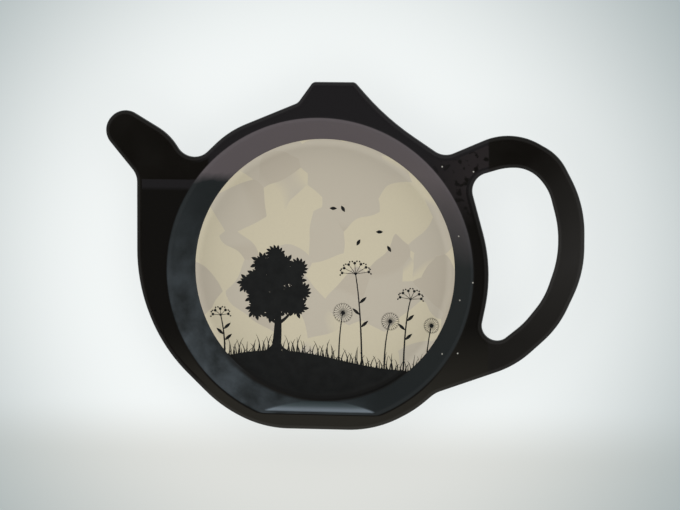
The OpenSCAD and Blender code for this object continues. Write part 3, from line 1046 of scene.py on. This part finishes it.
def clock(x, height, lean, rays, reach):
    """A seed clock: a bent stem with a round head of fine rays, each with three hairs at its end."""
    up = stem(x, height, lean)
    top = up[-1]
    shapes = [stroke(up, *CLOCK_STEM_W), disc(*top, CLOCK_MIDDLE_R)]
    for k in range(rays):
        a = math.tau * k / rays
        tip = (top[0] + reach * math.cos(a), top[1] + reach * math.sin(a))
        shapes.append(stroke([top, tip], *RAY_W))
        for side in (-1, 0, 1):
            b = a + side * HAIR_SPREAD
            hair = (tip[0] + HAIR_REACH * math.cos(b), tip[1] + HAIR_REACH * math.sin(b))
            shapes.append(stroke([tip, hair], *HAIR_W))
    return shapes


def drifting():
    """A few leaves let go by the tree."""
    shapes = []
    for i in range(DRIFTING):
        x = TREE_X + DRIFT_START[0] + DRIFT_STEP[0] * i
        y = DRIFT_START[1] + DRIFT_STEP[1] * i + DRIFT_SWAY * math.sin(SWAY_RATE * i)
        shapes.append(leaf(x, y, DRIFT_LEAF_L, DRIFT_LEAF_W, DRIFT_TURN * i))
    return shapes


def meadow_shapes():
    shapes = hill() + tree() + grass() + drifting()
    for flower, rows in ((umbel, UMBELS), (clock, CLOCKS)):
        for place, rise, lean, spokes, reach in rows:
            shapes += flower(MOON_R * place, FLOWER_H * rise, lean, spokes, reach)
    return shapes


def on_the_edge(p):
    """A point of the disc; one on its edge moves to the nearest point that the wall has there too."""
    angle = math.atan2(p[1], p[0])
    if math.hypot(*p) < disc_radius(angle) * math.cos(math.pi / AROUND) - SAME_SPOT:
        return p
    nearest = ANGLES[round(angle / math.tau * AROUND) % AROUND]
    return tuple(Vector(polar(disc_radius(nearest), nearest)))


def moon_faces():
    """The floor's triangles, parted into the pale disc and the dark meadow on it."""
    shapes = meadow_shapes()
    rings = [
        [polar(FLOOR_R + (disc_radius(a) - FLOOR_R) * k / FILLET_STEPS, a) for a in ANGLES]
        for k in range(FILLET_STEPS + 1)
    ]
    triangles, middles = triangulated(shapes + rings)
    kept = inside(middles, rings[-1])
    dark = np.zeros(len(triangles), bool)
    for shape in shapes:
        dark |= inside(middles, shape)
    triangles = [[on_the_edge(p) for p in t] for t in triangles]
    kept &= np.array([len(set(t)) == 3 for t in triangles])
    return (
        lifted(picked(triangles, kept & ~dark), face_height),
        lifted(picked(triangles, kept & dark), face_height),
    )


def plate_faces(well_ring, bowl_ring):
    """The flat faces of the plate: printed and bare on top, and the one underneath."""
    border, hole_border = inset(POT, PRINT_BORDER), inset(HOLE, PRINT_BORDER)
    spout_x = BELLY_R * SPOUT_VALLEY_SHARE[0]
    sides_y = crossings_down(border, FOIL_RIGHT)
    hole_y = crossings_down(hole_border, FOIL_RIGHT)
    spout_left = min(crossings_across(border, FOIL_SPOUT_CUT))
    valley_y = max(crossings_down(border, spout_x))
    cuts = [
        [(FOIL_RIGHT, max(sides_y)), (FOIL_RIGHT, max(hole_y))],
        [(FOIL_RIGHT, min(hole_y)), (FOIL_RIGHT, min(sides_y))],
        [(spout_left, FOIL_SPOUT_CUT), (spout_x, FOIL_SPOUT_CUT), (spout_x, valley_y)],
    ]
    pot_top, hole_top = inset(POT, TOP_EDGE_R), inset(HOLE, TOP_EDGE_R)
    top, middles = triangulated([pot_top, hole_top, border, hole_border, well_ring], cuts)
    solid = inside(middles, pot_top) & ~inside(middles, hole_top) & ~inside(middles, well_ring)
    printed = solid & inside(middles, border) & ~inside(middles, hole_border)
    printed &= middles[:, 0] < FOIL_RIGHT
    printed &= ~((middles[:, 0] < spout_x) & (middles[:, 1] > FOIL_SPOUT_CUT))
    pot_low, hole_low = inset(POT, LOWER_EDGE_R), inset(HOLE, LOWER_EDGE_R)
    low, low_middles = triangulated([pot_low, hole_low, bowl_ring])
    under = inside(low_middles, pot_low) & ~inside(low_middles, hole_low) & ~inside(low_middles, bowl_ring)
    return (
        levelled(picked(top, printed), RIM_Z),
        levelled(picked(top, solid & ~printed), RIM_Z),
        levelled(picked(low, under), RIM_UNDER_Z),
    )


def build_dish():
    """The moulding with a shallow seat in its face, and the three prints that lie in the seat."""
    wall, well_ring = turned(disc_radius, rim_radius, face_height, WALL_STEPS)
    bowl, bowl_ring = turned(lambda angle: 0.0, bowl_radius, under_height, WALL_STEPS)
    printed, bare, under = plate_faces(well_ring, bowl_ring)
    pale, black = moon_faces()
    border = wall + printed
    seat = border + pale + black
    depth = PRINT_T + PRINT_GAP
    body = bare + under + bowl + bead(POT) + bead(HOLE) + dropped(seat, depth) + walls(seat, depth)
    piece("melamine_dish", body, melamine(), ("tray",))
    piece("printed_border", layer(border), print_field(), ("foil_border", "glaze"))
    piece("printed_moon", layer(pale), moon_print(), ("foil_moon",))
    piece("printed_meadow", layer(black), ink_print(), ("foil_meadow",))


# Camera: it looks down into the well, a little from the right and from above the knob's side
AIM_X = 5.3
AIM_Y = 4.53
AIM = Vector((AIM_X + WELL_X, AIM_Y + WELL_Y, RIM_Z)) * MM
TILT_RIGHT = math.radians(8)
TILT_UP = math.radians(6.5)
CAMERA_FAR = 0.8
LENS = 170.0
SENSOR_W = 36
CLIP_START = 0.01


def build_camera():
    data = bpy.data.cameras.new("camera")
    data.lens = LENS
    data.sensor_width = SENSOR_W
    data.clip_start = CLIP_START
    made = bpy.data.objects.new("camera", data)
    back = Vector((math.tan(TILT_RIGHT), math.tan(TILT_UP), 1)).normalized()
    right = Vector((0, 1, 0)).cross(back).normalized()
    made.location = AIM + back * CAMERA_FAR
    made.rotation_euler = Matrix((right, back.cross(right), back)).transposed().to_euler()
    bpy.context.scene.collection.objects.link(made)
    bpy.context.scene.camera = made


# Floor: half its width in metres, its tones, and where they change in millimetres from the well's centre. Its
# tones paint a pool of light round the dish that falls off to grey far away.
FLOOR_HALF = 3.0
TABLE_LIT_POOL = (0.895, 0.930, 0.930)
TABLE_WARM = (0.73, 0.74, 0.712)
TABLE_LIGHT_FALLOFF = (0.34, 0.40, 0.41)
WARM_HEIGHT = (-50.0, -33.0)
LIT_POOL_MIDDLE = (-2.5, -0.5, 0)
LIGHT_FALLOFF_RANGE = (48.0, 133.0)
FLOOR_ROUGHNESS = 0.9
FLOOR_LEVEL = 0.1
OWN_LIGHT = 0.8


def floor_tone(net):
    """The table's tone: a painted pool of light, nearly white round the dish where it lightens the dish's
    shadow, falling off to grey far off, and warmer towards the base's side.
    """
    at = net.place_in_mm()
    near = net.span(net.part(at, "Y"), *WARM_HEIGHT, easing="SMOOTHSTEP")
    away = net.nodes.new("ShaderNodeVectorMath")
    away.operation = "DISTANCE"
    away.inputs[1].default_value = LIT_POOL_MIDDLE
    net.links.new(at, away.inputs[0])
    # Painted light: the pool round the dish falls off to grey far away
    light_falloff = net.span(away.outputs["Value"], *LIGHT_FALLOFF_RANGE, easing="SMOOTHSTEP")
    return net.mixed(light_falloff, net.mixed(near, TABLE_WARM, TABLE_LIT_POOL), TABLE_LIGHT_FALLOFF)


def build_floor():
    """A table top with a painted pool of light, which the camera and the glaze see mostly in its own tone."""
    mesh = bpy.data.meshes.new("floor")
    corners = [(x * FLOOR_HALF, y * FLOOR_HALF, 0) for x, y in ((-1, -1), (1, -1), (1, 1), (-1, 1))]
    mesh.from_pydata(corners, [], [(0, 1, 2, 3)])
    made, net, shader = new_material("pale_floor")
    tone = floor_tone(net)
    net.feed(shader.inputs["Base Color"], tone)
    shader.inputs["Roughness"].default_value = FLOOR_ROUGHNESS
    shader.inputs["Specular IOR Level"].default_value = FLOOR_LEVEL
    glow = net.nodes.new("ShaderNodeEmission")
    net.feed(glow.inputs["Color"], tone)
    path = net.nodes.new("ShaderNodeLightPath")
    seen = net.math("MAXIMUM", path.outputs["Is Camera Ray"], path.outputs["Is Glossy Ray"])
    both = net.nodes.new("ShaderNodeMixShader")
    net.links.new(net.span(seen, 0.0, 1.0, to_high=OWN_LIGHT), both.inputs["Fac"])
    net.links.new(shader.outputs[0], both.inputs[1])
    net.links.new(glow.outputs[0], both.inputs[2])
    net.links.new(both.outputs[0], net.nodes["Material Output"].inputs["Surface"])
    mesh.materials.append(made)
    floor = bpy.data.objects.new("floor", mesh)
    bpy.context.scene.collection.objects.link(floor)


# Light: the dome's colours from the horizon to straight overhead
DOME_LOW = (0.50, 0.51, 0.51)
DOME_BRIGHT = (1.0, 0.99, 0.96)
DOME_DARK = (0.02, 0.02, 0.02)
DOME_STOPS = [(0.0, DOME_LOW), (0.2, DOME_BRIGHT), (0.76, DOME_BRIGHT), (0.92, DOME_DARK)]
DOME_STRENGTH = 1.6


def build_light():
    """A soft dome of light, dark straight overhead, so that the flat rim mirrors no light and stays black."""
    world = bpy.data.worlds.new("studio")
    world.use_nodes = True
    net = Net(world.node_tree)
    way = net.nodes.new("ShaderNodeTexCoord").outputs["Generated"]
    background = net.nodes["Background"]
    net.feed(background.inputs["Color"], net.ramp(net.part(way, "Z"), DOME_STOPS))
    background.inputs["Strength"].default_value = DOME_STRENGTH
    bpy.context.scene.world = world


build_camera()
build_dish()
build_floor()
build_light()
bpy.context.scene.view_settings.view_transform = "Standard"
